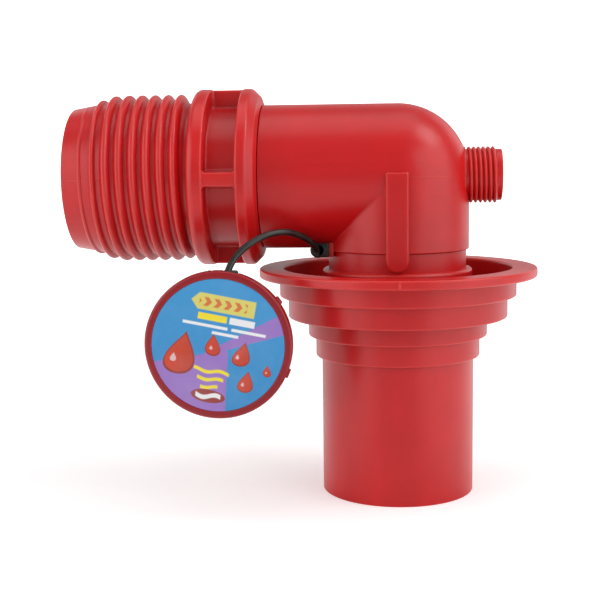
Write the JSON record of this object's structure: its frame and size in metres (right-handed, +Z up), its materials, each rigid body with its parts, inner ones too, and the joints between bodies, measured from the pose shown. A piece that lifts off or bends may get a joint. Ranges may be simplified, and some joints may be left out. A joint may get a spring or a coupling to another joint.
{
  "type": "sewer hose adapter",
  "caption": "Right-angle drain hose adapter: stepped push-in outlet with flange, swivelling elbow, threaded hose spigot with grip collar, rinse port and tethered drip cap.",
  "frame": {"origin": "centre of the outlet tube's lower end, on the tube's axis", "axes": "+Z up along the outlet tube's axis towards the elbow; the hose spigot points along -X, the rinse port along +X and the cap's label along -Y"},
  "size_m": [0.2162, 0.13, 0.1902],
  "materials": {
    "adapter_red": "satin moulded ABS",
    "elbow_red": "satin moulded ABS",
    "spigot_red": "satin moulded ABS",
    "cap_red": "satin moulded ABS",
    "seal_rubber": "matt rubber",
    "washer_nylon": "matt nylon",
    "ring_steel": "spring steel",
    "label_print": "printed vinyl label",
    "tether_black": "flexible black plastic"
  },
  "bodies": {
    "adapter": {"sewer_adapter": "adapter_red", "socket_lip_ring": "seal_rubber"},
    "spigot_ring": {"spigot_o_ring": "seal_rubber"},
    "elbow": {"elbow": "elbow_red", "rinse_nipple": "elbow_red", "sleeve_o_rings": "seal_rubber", "slip_washer": "washer_nylon", "retaining_ring": "ring_steel", "tether_cord": "tether_black", "tether_anchor": "tether_black", "tether_toggle": "tether_black"},
    "hose_spigot": {"hose_spigot": "spigot_red"},
    "drip_cap": {"drip_cap": "cap_red", "cap_gasket": "seal_rubber", "cap_label": "label_print"}
  },
  "joints": [
    {"name": "elbow_pull_off", "type": "slide", "parent": "adapter", "child": "spigot_ring", "axis": [0, 0, 1], "range_m": [0, 0.045]},
    {"name": "elbow_swivel", "type": "hinge", "parent": "spigot_ring", "child": "elbow", "pos_m": [0, 0, 0.09], "axis": [0, 0, 1], "continuous": true},
    {"name": "hose_spigot_spin", "type": "hinge", "parent": "elbow", "child": "hose_spigot", "pos_m": [-0.08, 0, 0.1491], "axis": [-1, 0, 0], "continuous": true},
    {"name": "cap_swing", "type": "hinge", "parent": "elbow", "child": "drip_cap", "pos_m": [-0.0774, -0.0552, 0.1086], "axis": [-1, 0, 0], "range_deg": [0, 45]}
  ]
}
